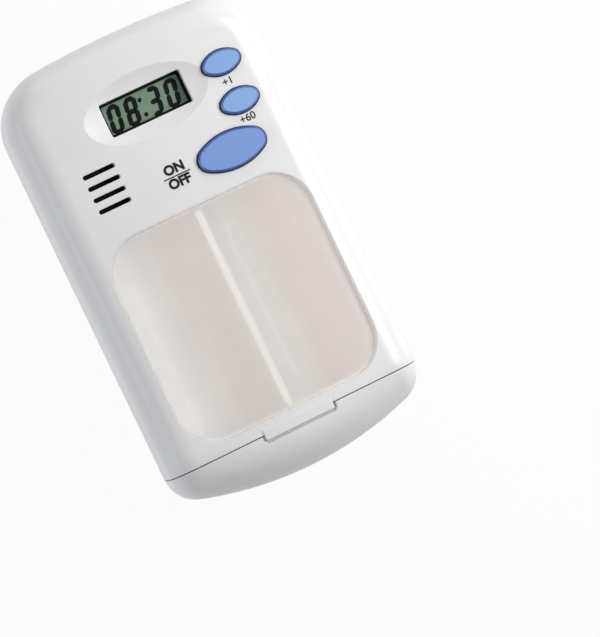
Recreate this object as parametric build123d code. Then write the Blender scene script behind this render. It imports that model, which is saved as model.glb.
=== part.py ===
from build123d import *
import os
from math import cos, radians, sin, sqrt

os.makedirs("parts", exist_ok=True)

# Electronic pill box: a flat two-well pill case whose whole front is a hinged lid that
# carries a timer. It lies on its back. X runs across it, Y towards the display end and
# Z out of its face. The origin is the middle of its back.

# Outer form
body_width = 58.0
body_length = 100.0
body_thickness = 20.0
wall = 2.0
edge_radius = 6.5
rear_corner_radius = 12.0
rear_bow_radius = 213.0
nose_bow_radius = 80.0
nose_top_radius = 9.5
nose_bottom_radius = 8.0
seam_from_nose = 10.4
seam_gap = 0.2
oval_end_share = 0.68
overrun = 5.0

# Fits
slip = 0.2
running_fit = 0.05
press_gap = 0.1

# Window
window_from_side = 5.8
timer_length = 40.2
window_corner = 9.1
window_from_seam = 2.4
window_thickness = 1.2
window_ledge = 0.8
window_bevel = 0.3

# Hinge
barrel_radius = 2.4
barrel_from_side = 10.5
barrel_inset = 0.7
barrel_gap = 0.3
pin_radius = 0.8
pin_end_gap = 1.0
knuckle_length = 6.0
knuckle_from_end = 6.5
knuckle_end_gap = 0.25
opening_angle = 110.0

# Thumb lip, its recess and the catch below it
lip_width = 16.0
lip_reach = 1.2
lip_thickness = 0.8
lip_proud = 0.25
lip_round = 0.5
nail_room = 0.6
catch_width = 12.0
catch_depth = 4.2
catch_thickness = 1.2
catch_bead = 0.25
bulkhead = 1.6

# Locating rails inside the side walls of the base
rail_thickness = 0.8
rail_height = 1.5
rail_root = 2.5

# Pill tray
tray_wall = 0.8
tray_inset = 0.5
tray_floor_rise = 1.2
tray_floor_round = 8.0
tray_rim_bevel = 0.35
divider_width = 1.5
foot_thickness = 1.2
foot_from_side = 4.5
foot_height = 8.0
foot_shares = (-0.36, 0.0, 0.36)
lid_gap = 0.3

# Display
display_from_rear = 16.7
display_width = 18.7
display_height = 7.4
display_corner = 0.5
dish_semi_x = 14.0
dish_semi_y = 7.2
dish_depth = 1.0
dish_bowl_height = 5.0
lens_thickness = 0.8
glass_side_margin = 1.25
glass_end_margin = 1.9
glass_ledge = 1.6
glass_thickness = 0.9
reflector_thickness = 0.3
frame_wall = 1.0
frame_lip = 0.8
frame_from_button = 1.1
strip_width = 1.2
strip_end_gap = 0.6

# Buttons: each crown's distances from the right side and the rear end, then its half sizes
min_from_side, min_from_rear, min_semi_x, min_semi_y = 11.2, 15.6, 4.3, 2.55
hour_from_side, hour_from_rear, hour_semi_x, hour_semi_y = 11.1, 24.4, 4.3, 2.6
start_from_side, start_from_rear, start_semi_x, start_semi_y = 17.1, 33.0, 7.7, 3.9
button_gap = 0.3
button_travel = 0.8
button_proud = 1.0
button_bevel = 0.4
button_flange = 0.9
button_flange_thickness = 1.0
button_stem_share = 0.55

# Sound slots
slot_length = 7.4
slot_width = 1.0
slot_pitch = 2.6
slot_count = 4
slot_from_side = 13.6
slot_from_rear = 29.3

# Circuit board and what it carries
board_thickness = 1.0
board_drop = 3.6
board_edge_gap = 0.6
board_post_radius = 1.6
left_post_from_side = 4.8
left_post_from_rear = 16.0
right_post_from_side = 6.2
right_post_from_rear = 30.4
rear_post_from_display_x = 2.0
rear_post_from_display_y = 10.7
blob_radius = 4.2
blob_height = 1.3
blob_from_display = 4.0
crystal_radius = 1.0
crystal_length = 6.0
crystal_bevel = 0.25
crystal_from_side = 13.5
chip_length = 2.0
chip_width = 1.25
chip_height = 0.6
chip_row_spacing = 4.0
chip_row_x_from_display = 1.0
chip_row_y_from_display = 6.7
chip_row_count = 3

# Rubber keypad
keypad_thickness = 0.6
keypad_pad_height = 0.95
keypad_margin = 0.4
keypad_pad_share = 0.7
keypad_pad_bevel = 0.5

# Buzzer
buzzer_radius = 6.0
buzzer_brass_thickness = 0.2
buzzer_ceramic_radius = 4.4
buzzer_ceramic_thickness = 0.2
buzzer_ring_wall = 0.8
buzzer_ring_depth = 2.0
buzzer_step = 1.2
buzzer_step_width = 0.6
wire_radius = 0.25
wire_drop = 1.2
wire_reach = 4.8
wire_offsets = (-4.1, -2.5)

# Button cell, its contacts and the turning door
cell_radius = 5.8
cell_thickness = 5.4
cell_cap_radius = 4.9
cell_cap_height = 0.5
cell_from_side = 14.5
cell_from_rear = 28.8
cell_gap = 0.25
contact_thickness = 0.25
contact_width = 3.2
contact_foot = 2.0
door_margin = 2.0
door_flange = 0.7
door_lug_reach = 0.9
door_lug_thickness = 0.5
door_lug_arc = 40.0
door_lug_play = 5.0
door_turn = 60.0
coin_slot_width = 1.6
coin_slot_depth = 0.5

# Inner cover and screws
cover_thickness = 1.4
cover_from_cell = 0.55
cover_edge_gap = 0.3
cover_front_wall = 1.0
cover_front_gap = 0.8
cover_rear_gap = 0.4
cup_wall = 0.8
boss_radius = 2.0
boss_inset_x = 3.8
boss_front_setback = 3.7
boss_rear_from_side = 10.0
boss_rear_from_rear = 7.9
screw_radius = 0.8
screw_head_radius = 1.5
screw_head_height = 0.8
screw_length = 5.0
board_screw_length = 3.0
screw_slot_width = 0.4
screw_slot_depth = 0.35

# Sizes and places worked out from the sizes above
side_x = body_width / 2
rear_y = body_length / 2
nose_y = -body_length / 2
face_z = body_thickness
underside_z = body_thickness - wall
floor_z = wall
parting_z = edge_radius
seam_y = nose_y + seam_from_nose
lid_end_y = seam_y + seam_gap / 2
base_end_y = seam_y - seam_gap / 2
window_width = body_width - 2 * window_from_side
window_length = body_length - seam_from_nose - window_from_seam - timer_length
window_y = seam_y + window_from_seam + window_length / 2
window_low_z = face_z - window_thickness
hinge_y = rear_y - barrel_inset - barrel_radius
hinge_z = parting_z
swing_reach = rear_y - hinge_y + barrel_gap
barrel_length = body_width - 2 * barrel_from_side
pin_length = barrel_length - 2 * pin_end_gap
knuckle_spacing = barrel_length - 2 * knuckle_from_end
tray_top_z = underside_z - lid_gap
tray_low_z = floor_z + tray_floor_rise
tray_half_width = window_width / 2 - tray_inset
tray_half_length = window_length / 2 - tray_inset
foot_width = 2 * (tray_half_width + tray_wall - foot_from_side)
board_top_z = underside_z - board_drop
board_low_z = board_top_z - board_thickness
button_crowns = {
    "min_button": (side_x - min_from_side, rear_y - min_from_rear, min_semi_x, min_semi_y),
    "hour_button": (side_x - hour_from_side, rear_y - hour_from_rear, hour_semi_x, hour_semi_y),
    "start_stop_button": (
        side_x - start_from_side, rear_y - start_from_rear, start_semi_x, start_semi_y
    ),
}
glass_width = display_width + 2 * glass_side_margin
glass_height = display_height + 2 * glass_end_margin
frame_half = glass_width / 2 + press_gap + frame_wall
display_x = side_x - min_from_side - min_semi_x - button_flange - frame_from_button - frame_half
display_y = rear_y - display_from_rear
lens_low_z = underside_z - lens_thickness
front_glass_z = lens_low_z - glass_thickness
rear_glass_z = front_glass_z - glass_thickness
slot_x = slot_from_side - side_x
slot_y = rear_y - slot_from_rear
ring_radius = buzzer_radius + press_gap + buzzer_ring_wall
cell_x = cell_from_side - side_x
cell_y = rear_y - cell_from_rear
cell_top_z = board_top_z - cell_gap
cell_low_z = cell_top_z - cell_thickness
door_radius = cell_radius + door_margin
cover_top_z = cell_low_z - cover_from_cell
cover_low_z = cover_top_z - cover_thickness
cover_front_y = window_y + tray_half_length + tray_wall + cover_front_gap
cover_rear_y = hinge_y - barrel_radius - cover_rear_gap
boss_front_x = side_x - wall - boss_inset_x
boss_front_y = cover_front_y + boss_front_setback
boss_rear_x = side_x - boss_rear_from_side
boss_rear_y = rear_y - boss_rear_from_rear
boss_places = [
    (-boss_front_x, boss_front_y),
    (boss_front_x, boss_front_y),
    (-boss_rear_x, boss_rear_y),
    (boss_rear_x, boss_rear_y),
]
board_post_places = [
    (left_post_from_side - side_x, rear_y - left_post_from_rear),
    (side_x - right_post_from_side, rear_y - right_post_from_rear),
    (display_x + rear_post_from_display_x, display_y + rear_post_from_display_y),
]


def block(x_low, x_high, y_low, y_high, z_low, z_high):
    """A plain block between two opposite corners."""
    middle = Pos((x_low + x_high) / 2, (y_low + y_high) / 2, (z_low + z_high) / 2)
    return middle * Box(x_high - x_low, y_high - y_low, z_high - z_low)


def post(radius, x, y, z_low, z_high):
    """A round post or hole that stands along Z."""
    return Pos(x, y, z_low) * extrude(Circle(radius), z_high - z_low)


def tile(width, length, corner, x, y, z_low, z_high):
    """A plate with rounded corners."""
    return Pos(x, y, z_low) * extrude(RectangleRounded(width, length, corner), z_high - z_low)


def oval(semi_x, semi_y, x, y, z_low, z_high):
    """An oval post or hole, drawn with two end arcs and two side arcs."""
    end = oval_end_share * semi_y
    side = ((semi_x - end) ** 2 + semi_y**2 - end**2) / (2 * (semi_y - end))
    lens = Pos(0, side - semi_y) * Circle(side) & Pos(0, semi_y - side) * Circle(side)
    return Pos(x, y, z_low) * extrude(fillet(lens.vertices(), end), z_high - z_low)


def bar(radius, x_low, x_high, y, z):
    """A round bar that lies along X."""
    return Pos((x_low + x_high) / 2, y, z) * Rot(0, 90, 0) * Cylinder(radius, x_high - x_low)


def plan(inset):
    """The outline seen from the front, without the bow of the nose."""
    half = body_width / 2 - inset
    front = nose_y - overrun
    rear = rear_y + overrun
    sides = Pos(0, (front + rear) / 2) * Rectangle(2 * half, rear - front)
    bow = Pos(0, rear_y - rear_bow_radius) * Circle(rear_bow_radius - inset)
    outline = sides & bow
    return fillet(outline.vertices().group_by(Axis.Y)[-1], rear_corner_radius - inset)


def inner_bevel(outer_radius):
    """The bevel of an inner edge that keeps one wall thickness behind a rounded outer edge."""
    return (outer_radius - wall) * (2 - sqrt(2))


def nose_disc(inset):
    """A disc whose edge is the bowed nose of the box, with its rim still sharp."""
    return post(nose_bow_radius - inset, 0, nose_y + nose_bow_radius, inset, body_thickness - inset)


def blank_form(inset, nose):
    """The closed form between flat back and face, ended by the given nose."""
    return Pos(0, 0, inset) * extrude(plan(inset), body_thickness - 2 * inset) & nose


def side_edges(blank):
    """The edges along the sides, round the rear and down the two nose corners."""
    upright = blank.edges().filter_by(Axis.Z).filter_by(lambda edge: edge.center().Y > 0)
    rim = blank.edges().filter_by(
        lambda edge: edge.center().Y < 0 and abs(edge.center().X) < body_width / 4
    )
    return [edge for edge in blank.edges() if edge not in upright and edge not in rim]


def outer_envelope():
    """The outer form: a bullnose at the front and rounded edges all round."""
    disc = nose_disc(0)
    disc = fillet(disc.edges().group_by(Axis.Z)[-1], nose_top_radius)
    disc = fillet(disc.edges().group_by(Axis.Z)[0], nose_bottom_radius)
    blank = blank_form(0, disc)
    return fillet(side_edges(blank), edge_radius)


def inner_envelope():
    """The hollow inside the walls, with bevelled edges behind the rounded outer ones."""
    disc = nose_disc(wall)
    disc = chamfer(disc.edges().group_by(Axis.Z)[-1], inner_bevel(nose_top_radius))
    disc = chamfer(disc.edges().group_by(Axis.Z)[0], inner_bevel(nose_bottom_radius))
    blank = blank_form(wall, disc)
    return chamfer(side_edges(blank), inner_bevel(edge_radius))


outer_form = outer_envelope()
inner_form = inner_envelope()
skin = outer_form - inner_form


def knuckle_spans(end_gap):
    """The X limits of the two base knuckles, each widened by the gap."""
    half = knuckle_length / 2 + end_gap
    return [(x - half, x + half) for x in (-knuckle_spacing / 2, knuckle_spacing / 2)]


def lip_blank(grow, z_low, z_high):
    """The thumb lip's outline, grown on all sides by the given gap."""
    reach = lip_reach + grow
    corner = lip_round + grow
    length = reach + overrun
    middle_y = seam_y - reach + length / 2
    return tile(lip_width + 2 * grow, length, corner, 0, middle_y, z_low, z_high)


def display_dish():
    """The shallow oval hollow round the display, as the bowl that cuts it."""
    bowl = dish_bowl_height
    lift = bowl - dish_depth
    spread = sqrt(1 - (lift / bowl) ** 2)
    shape = scale(Sphere(1), by=(dish_semi_x / spread, dish_semi_y / spread, bowl))
    return Pos(display_x, display_y, face_z + lift) * shape


def sound_slots():
    """The row of round-ended slots over the buzzer."""
    first_y = slot_y - slot_pitch * (slot_count - 1) / 2
    slot = extrude(SlotOverall(slot_length, slot_width), wall + 2 * overrun)
    return [
        Pos(slot_x, first_y + slot_pitch * index, underside_z - overrun) * slot
        for index in range(slot_count)
    ]


def buzzer_seat():
    """The ring under the sound slots, with the step that the buzzer disc sits on."""
    low = underside_z - buzzer_ring_depth
    step_z = underside_z - buzzer_step
    bore = buzzer_radius + press_gap
    ring = post(ring_radius, slot_x, slot_y, low, underside_z)
    ring -= post(bore, slot_x, slot_y, low, step_z)
    return ring - post(bore - buzzer_step_width, slot_x, slot_y, step_z, underside_z)


def lid_shell():
    """The whole front: face, side walls, hinge barrels, thumb lip and inner bosses."""
    half = body_width
    region = block(-half, half, lid_end_y, rear_y + overrun, parting_z + slip, face_z + overrun)
    lid = skin & region
    lid += bar(barrel_radius, -barrel_length / 2, barrel_length / 2, hinge_y, hinge_z)
    for x_low, x_high in knuckle_spans(knuckle_end_gap):
        lid -= bar(barrel_radius + barrel_gap, x_low, x_high, hinge_y, hinge_z)
    lid -= bar(pin_radius + running_fit, -pin_length / 2, half, hinge_y, hinge_z)

    lip = lip_blank(0, face_z + lip_proud - lip_thickness, face_z + lip_proud)
    lip = lip & block(-half, half, nose_y, seam_y + window_from_seam / 2, 0, face_z + overrun)
    lip = chamfer(lip.edges().group_by(Axis.Z)[-1], lip_proud / 2)
    lid += lip
    catch_y = lid_end_y + catch_thickness
    lid += block(
        -catch_width / 2, catch_width / 2, lid_end_y, catch_y, underside_z - catch_depth, underside_z
    )
    bead_z = underside_z - catch_depth + catch_thickness / 2
    lid += bar(catch_bead, -catch_width / 2, catch_width / 2, lid_end_y, bead_z)

    for x, y in boss_places:
        lid += post(boss_radius, x, y, cover_top_z, underside_z) & outer_form
        lid -= post(screw_radius - press_gap, x, y, cover_top_z, cover_top_z + screw_length)
    for x, y in board_post_places:
        lid += post(board_post_radius, x, y, board_top_z, underside_z)
        lid -= post(screw_radius - press_gap, x, y, board_top_z, board_top_z + board_screw_length)
    lid += buzzer_seat()

    opening = (window_width - 2 * window_ledge, window_length - 2 * window_ledge)
    rebate = tile(
        window_width, window_length, window_corner, 0, window_y, window_low_z, face_z + overrun
    )
    lid -= rebate
    lid -= tile(
        *opening, window_corner - window_ledge, 0, window_y, underside_z - overrun, face_z
    )
    lid -= display_dish()
    lid -= tile(
        display_width, display_height, display_corner, display_x, display_y, underside_z, face_z
    )
    for x, y, semi_x, semi_y in button_crowns.values():
        lid -= oval(semi_x + button_gap, semi_y + button_gap, x, y, underside_z, face_z)
    for slot in sound_slots():
        lid -= slot
    return lid


def hinge_trough():
    """What the lid's barrel and rear wall sweep through at the base's rear edge."""
    turn = radians(opening_angle)
    out = 2 * edge_radius
    tangent = (hinge_y + swing_reach * cos(turn), hinge_z - swing_reach * sin(turn))
    far = (tangent[0] + out * sin(turn), tangent[1] + out * cos(turn))
    wedge = make_face(
        Polyline((hinge_y, hinge_z), tangent, far, (far[0], hinge_z + out), (hinge_y, hinge_z + out),
                 (hinge_y, hinge_z))
    )
    swept = extrude(Plane.YZ * wedge, body_width, both=True)
    return swept + bar(swing_reach, -body_width, body_width, hinge_y, hinge_z)


def hinge_knuckle(x_low, x_high):
    """One knuckle of the base, with the arm that carries it from the floor."""
    knuckle = bar(barrel_radius, x_low, x_high, hinge_y, hinge_z)
    arm_rear = hinge_y + swing_reach * cos(radians(opening_angle))
    return knuckle + block(x_low, x_high, arm_rear - wall, arm_rear, floor_z / 2, hinge_z)


def base_shell():
    """The back shell with its full-height nose, bulkhead and hinge knuckles."""
    half = body_width
    low_part = block(-half, half, nose_y - overrun, rear_y + overrun, -overrun, parting_z)
    nose_part = block(-half, half, nose_y - overrun, base_end_y, -overrun, face_z + overrun)
    base = skin & (low_part + nose_part)
    base += outer_form & block(
        -half, half, base_end_y - bulkhead, base_end_y, floor_z / 2, face_z + overrun
    )
    base -= hinge_trough()
    for x_low, x_high in knuckle_spans(0):
        base += hinge_knuckle(x_low, x_high)
    base -= bar(pin_radius, -barrel_length / 2, half, hinge_y, hinge_z)

    pocket_low = face_z + lip_proud - lip_thickness - seam_gap
    base -= lip_blank(nail_room, pocket_low, face_z + overrun)
    bead_z = underside_z - catch_depth + catch_thickness / 2
    groove_half = catch_width / 2 + slip
    base -= bar(catch_bead + slip, -groove_half, groove_half, lid_end_y, bead_z)

    rail_high = parting_z + rail_height
    rail_outer = body_width / 2 - wall - slip
    for side in (-1, 1):
        near, far = sorted((side * rail_outer, side * (rail_outer - rail_thickness)))
        base += block(
            near, far, seam_y + wall, cover_front_y - slip, parting_z - rail_root, rail_high
        )
    return base


def hinge_pin():
    """The steel pin through the knuckles and the lid's barrel."""
    return bar(pin_radius, -pin_length / 2, pin_length / 2, hinge_y, hinge_z)


def trough(half_width, low, corner, centre_x):
    """One well drawn out along the box: straight sides and a floor with round corners."""
    high = face_z + overrun
    section = Pos(centre_x, (low + high) / 2) * Rectangle(2 * half_width, high - low)
    section = fillet(section.vertices().group_by(Axis.Y)[0], corner)
    return Pos(0, window_y) * extrude(Plane.XZ * section, body_length / 2, both=True)


def pill_tray():
    """The tub with two wells, its divider and the feet that stand on the base."""
    well_half = (tray_half_width - divider_width / 2) / 2
    well_x = tray_half_width - well_half
    corner = window_corner - tray_inset
    outer = tile(
        2 * (tray_half_width + tray_wall), 2 * (tray_half_length + tray_wall),
        corner + tray_wall, 0, window_y, 0, tray_top_z
    )
    inner = tile(
        2 * tray_half_width, 2 * tray_half_length, corner, 0, window_y, 0, face_z + overrun
    )
    under = (well_half + tray_wall, tray_low_z - tray_wall, tray_floor_round + tray_wall)
    tray = outer & (trough(*under, -well_x) + trough(*under, well_x))
    for share in foot_shares:
        foot_y = window_y + share * window_length
        foot = block(
            -foot_width / 2, foot_width / 2, foot_y - foot_thickness / 2, foot_y + foot_thickness / 2,
            floor_z, floor_z + foot_height
        )
        tray += foot & outer
    rim = tray.faces().sort_by(Axis.Z)[-1].outer_wire().edges()
    tray = chamfer(rim, tray_rim_bevel)
    for x in (-well_x, well_x):
        tray -= trough(well_half, tray_low_z, tray_floor_round, x) & inner
    rib_length = window_length - 2 * window_ledge - 2 * lid_gap
    return tray + tile(
        divider_width, rib_length, divider_width / 2 - running_fit, 0, window_y,
        tray_low_z + foot_height, window_low_z - lid_gap
    )


def pill_window():
    """The clear smoky plate that lies on the ledge of the lid."""
    plate = tile(
        window_width - 2 * press_gap, window_length - 2 * press_gap, window_corner - press_gap,
        0, window_y, window_low_z, face_z
    )
    return chamfer(plate.edges().group_by(Axis.Z)[-1], window_bevel)


def display_lens():
    """The clear plate behind the display opening."""
    return tile(glass_width, glass_height, display_corner, display_x, display_y, lens_low_z, underside_z)


def lcd_cell():
    """Two bonded glasses. The front one overhangs as the ledge that carries the contacts."""
    front = tile(glass_width, glass_height, display_corner, display_x, display_y, front_glass_z, lens_low_z)
    rear_height = glass_height - 2 * glass_ledge
    rear = tile(glass_width, rear_height, display_corner, display_x, display_y, rear_glass_z, front_glass_z)
    return front + rear


def lcd_reflector():
    """The thin reflecting sheet behind the rear glass."""
    height = glass_height - 2 * glass_ledge
    low = rear_glass_z - reflector_thickness
    return tile(glass_width, height, display_corner, display_x, display_y, low, rear_glass_z)


def lcd_frame():
    """The frame that holds the display and the contact strips over the circuit board."""
    inner = (glass_width + 2 * press_gap, glass_height + 2 * press_gap)
    frame = tile(
        2 * frame_half, inner[1] + 2 * frame_wall, display_corner + frame_wall,
        display_x, display_y, board_top_z, underside_z
    )
    frame -= tile(*inner, display_corner, display_x, display_y, board_top_z, underside_z)
    rib_high = rear_glass_z - reflector_thickness
    for side in (-1, 1):
        rib_y = display_y + side * (glass_height / 2 - glass_ledge - frame_lip / 2)
        frame += block(
            display_x - inner[0] / 2, display_x + inner[0] / 2, rib_y - frame_lip / 2,
            rib_y + frame_lip / 2, board_top_z, rib_high
        )
    return frame - post(ring_radius + slip, slot_x, slot_y, board_top_z, underside_z)


def zebra_strips():
    """The pair of rubber contact strips between the glass ledges and the board."""
    half = glass_width / 2 - strip_end_gap
    strips = []
    for side in (-1, 1):
        strip_y = display_y + side * (glass_height / 2 - glass_ledge / 2)
        strips.append(
            block(display_x - half, display_x + half, strip_y - strip_width / 2, strip_y + strip_width / 2,
                  board_top_z, front_glass_z)
        )
    return strips[0] + strips[1]


def circuit_board():
    """The board under the face, cut clear of the cell, the bosses and the front wall."""
    outline = plan(wall + board_edge_gap)
    board = Pos(0, 0, board_low_z) * extrude(outline, board_thickness)
    front = cover_front_y + cover_front_wall + board_edge_gap
    rear = rear_y - wall - 2 * board_edge_gap
    board &= block(-body_width, body_width, front, rear, board_low_z, board_top_z)
    board -= post(cell_radius + cup_wall + slip, cell_x, cell_y, board_low_z, board_top_z)
    for x, y in boss_places:
        board -= post(boss_radius + slip, x, y, board_low_z, board_top_z)
    for x, y in board_post_places:
        board -= post(screw_radius + running_fit, x, y, board_low_z, board_top_z)
    return board


def chip_blob():
    """The resin drop over the chip, on the back of the board."""
    blob_x = display_x + blob_from_display
    return post(blob_radius, blob_x, display_y, board_low_z - blob_height, board_low_z)


def quartz_crystal():
    """The small metal can that lies on the back of the board."""
    place = Pos(side_x - crystal_from_side, display_y, board_low_z - crystal_radius)
    can = place * Rot(90, 0, 0) * Cylinder(crystal_radius, crystal_length)
    return chamfer(can.edges().filter_by(GeomType.CIRCLE), crystal_bevel)


def chip_components():
    """The small resistors and capacitors on the back of the board."""
    chips = []
    for side in (-1, 1):
        y = display_y + side * chip_row_y_from_display
        for index in range(chip_row_count):
            low_x = display_x + chip_row_x_from_display + index * chip_row_spacing
            chips.append(
                block(low_x, low_x + chip_length, y - chip_width / 2, y + chip_width / 2,
                      board_low_z - chip_height, board_low_z)
            )
    return Compound(children=chips)


def keypad_membrane():
    """The rubber sheet on the board with a raised pad under each button."""
    sheet_top = board_top_z + keypad_thickness
    grow = button_flange + keypad_margin
    frame_edge = display_x + frame_half + keypad_margin
    wide_x, wide_y, wide_semi_x, wide_semi_y = button_crowns["start_stop_button"]
    top_x, top_y, top_semi_x, top_semi_y = button_crowns["min_button"]
    right_x = top_x + top_semi_x + grow
    wide_high = wide_y + wide_semi_y + grow
    sheet = block(wide_x - wide_semi_x - grow, right_x, 0, wide_high, board_top_z, sheet_top)
    sheet += block(frame_edge, right_x, 0, top_y + top_semi_y + grow, board_top_z, sheet_top)
    for x, y, semi_x, semi_y in button_crowns.values():
        half_x = semi_x * keypad_pad_share
        half_y = semi_y * keypad_pad_share
        pad_top = sheet_top + keypad_pad_height
        pad = block(x - half_x, x + half_x, y - half_y, y + half_y, board_top_z, pad_top)
        sheet += chamfer(pad.edges().group_by(Axis.Z)[-1], keypad_pad_bevel)
    board_front = cover_front_y + cover_front_wall + board_edge_gap
    sheet = sheet & block(0, body_width, board_front, rear_y, 0, face_z)
    for x, y in boss_places:
        sheet -= post(boss_radius + slip, x, y, 0, face_z)
    for x, y in board_post_places:
        sheet -= post(board_post_radius + slip, x, y, 0, face_z)
    return sheet


def push_button(x, y, semi_x, semi_y):
    """An oval button with a bevelled rim, the flange that keeps it in the lid and its stem."""
    cap = oval(semi_x, semi_y, x, y, underside_z, face_z + button_proud)
    cap = chamfer(cap.edges().group_by(Axis.Z)[-1], button_bevel)
    flange_top = underside_z - running_fit
    flange = oval(
        semi_x + button_flange, semi_y + button_flange, x, y,
        flange_top - button_flange_thickness, flange_top
    )
    stem_low = board_top_z + keypad_thickness + keypad_pad_height + button_travel + press_gap
    stem_x = semi_x * button_stem_share
    stem_y = semi_y * button_stem_share
    stem = block(x - stem_x, x + stem_x, y - stem_y, y + stem_y, stem_low, underside_z)
    return cap + flange + stem


def buzzer_plate():
    """The brass disc of the buzzer, seated on the step of its ring."""
    high = underside_z - buzzer_step
    return post(buzzer_radius, slot_x, slot_y, high - buzzer_brass_thickness, high)


def buzzer_ceramic():
    """The ceramic disc bonded to the brass one."""
    high = underside_z - buzzer_step - buzzer_brass_thickness
    return post(buzzer_ceramic_radius, slot_x, slot_y, high - buzzer_ceramic_thickness, high)


def buzzer_wires():
    """The two bent leads from the buzzer discs, round the cell, to the board."""
    brass_low = underside_z - buzzer_step - buzzer_brass_thickness
    starts = (brass_low, brass_low - buzzer_ceramic_thickness)
    near_x = slot_x + buzzer_radius / 2
    far_x = near_x + wire_reach
    run_z = brass_low - wire_drop
    wires = []
    for offset, start_z in zip(wire_offsets, starts):
        y = slot_y + offset
        route = Polyline(
            (near_x, y, start_z), (near_x, y, run_z), (far_x, y, run_z), (far_x, y, board_top_z)
        )
        section = Plane(origin=(near_x, y, start_z), z_dir=(0, 0, -1)) * Circle(wire_radius)
        wires.append(sweep(section, route, transition=Transition.RIGHT))
    return Compound(children=wires)


def battery_cell():
    """A standard alkaline button cell. Its narrower cap is the negative end."""
    can = post(cell_radius, cell_x, cell_y, cell_low_z, cell_top_z - cell_cap_height)
    can = chamfer(can.edges().group_by(Axis.Z)[0], cell_gap)
    return can + post(cell_cap_radius, cell_x, cell_y, cell_low_z + cell_gap, cell_top_z)


def battery_contact_negative():
    """The spring strip over the top of the cell, with its foot on the board beside it."""
    far = cell_x - cell_radius - cup_wall - slip - contact_foot
    strip = block(
        far, cell_x + contact_width / 2, cell_y - contact_width / 2, cell_y + contact_width / 2,
        board_top_z, board_top_z + contact_thickness
    )
    return strip + post(contact_width / 2, cell_x, cell_y, cell_top_z, board_top_z)


def battery_contact_positive():
    """The bent strip that presses on the side of the cell, with its foot on the board."""
    near = cell_y - cell_radius
    left = cell_x - contact_width / 2
    right = cell_x + contact_width / 2
    high = board_top_z + contact_thickness
    upright = block(left, right, near - contact_thickness, near, cell_low_z + cell_gap, high)
    far = near - cup_wall - slip - contact_foot
    return upright + block(left, right, far, near, board_top_z, high)


def lug_sector(reach, arc, turn, z_low, z_high):
    """A pair of opposite ring sectors round the cell's axis."""
    pair = None
    for start in (turn, turn + 180):
        ends = [
            (reach * cos(radians(start + side * arc / 2)), reach * sin(radians(start + side * arc / 2)))
            for side in (-1, 1)
        ]
        rim = CenterArc((0, 0), reach, start - arc / 2, arc)
        sector = make_face([Line((0, 0), ends[0]), rim, Line(ends[1], (0, 0))])
        solid = Pos(cell_x, cell_y, z_low) * extrude(sector, z_high - z_low)
        pair = solid if pair is None else pair + solid
    return pair


def inner_cover():
    """The cover that closes the timer in the lid, with its front wall and cell cup."""
    outline = plan(wall + cover_edge_gap)
    cover = Pos(0, 0, cover_low_z) * extrude(outline, cover_thickness)
    half = body_width
    cover &= block(-half, half, cover_front_y, cover_rear_y, cover_low_z, cover_top_z)
    front_wall = block(
        -half, half, cover_front_y, cover_front_y + cover_front_wall, cover_low_z, underside_z
    )
    cover += front_wall & inner_form
    bore = cell_radius + slip / 2
    spigot = cell_radius + slip
    lug_reach = spigot + door_lug_reach + slip
    lug_roof = cover_top_z + door_lug_thickness + 2 * running_fit
    cup_high = board_low_z + board_thickness / 2
    cover += post(lug_reach + cup_wall, cell_x, cell_y, cover_low_z, lug_roof + cup_wall)
    cover += post(bore + cup_wall, cell_x, cell_y, cover_low_z, cup_high)
    cover -= post(bore, cell_x, cell_y, cover_top_z, cup_high)
    cover -= post(lug_reach, cell_x, cell_y, cover_top_z, lug_roof)
    slit = contact_width / 2 + slip
    cover -= block(
        cell_x - slit, cell_x + slit, cell_y - 2 * cell_radius, cell_y - cell_radius / 2,
        cell_low_z, cup_high
    )
    cover -= post(spigot + slip, cell_x, cell_y, cover_low_z, cover_top_z)
    recess_top = cover_top_z - door_flange
    cover -= post(door_radius + slip, cell_x, cell_y, cover_low_z, recess_top)
    cover -= lug_sector(lug_reach, door_lug_arc + door_lug_play, door_turn, cover_low_z, cover_top_z)
    for x, y in boss_places:
        cover -= post(screw_radius + running_fit, x, y, cover_low_z, cover_top_z)
    return cover


def battery_door():
    """The round door that a coin turns. Two lugs hold it behind the cover's flange."""
    recess_top = cover_top_z - door_flange
    spigot = cell_radius + slip
    lug_low = cover_top_z + running_fit
    lug_high = lug_low + door_lug_thickness
    door = post(door_radius, cell_x, cell_y, cover_low_z, recess_top)
    door += post(spigot, cell_x, cell_y, recess_top, lug_high)
    lugs = lug_sector(spigot + door_lug_reach, door_lug_arc, 0, lug_low, lug_high)
    door += lugs
    slot = block(
        cell_x - door_radius / 2, cell_x + door_radius / 2, cell_y - coin_slot_width / 2,
        cell_y + coin_slot_width / 2, cover_low_z, cover_low_z + coin_slot_depth
    )
    return door - slot


def screw(x, y, seat_z, length):
    """A small slotted screw that goes up from its seat."""
    head = post(screw_head_radius, x, y, seat_z - screw_head_height, seat_z)
    half = screw_slot_width / 2
    low = seat_z - screw_head_height
    head -= block(
        x - screw_head_radius, x + screw_head_radius, y - half, y + half, low, low + screw_slot_depth
    )
    return head + post(screw_radius - press_gap, x, y, seat_z, seat_z + length)


def cover_screws():
    """The screws that hold the inner cover to the lid's bosses."""
    length = cover_thickness + screw_length / 2
    return Compound(children=[screw(x, y, cover_low_z, length) for x, y in boss_places])


def board_screws():
    """The screws that hold the board to its posts."""
    length = board_thickness + board_screw_length / 2
    return Compound(children=[screw(x, y, board_low_z, length) for x, y in board_post_places])


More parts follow.
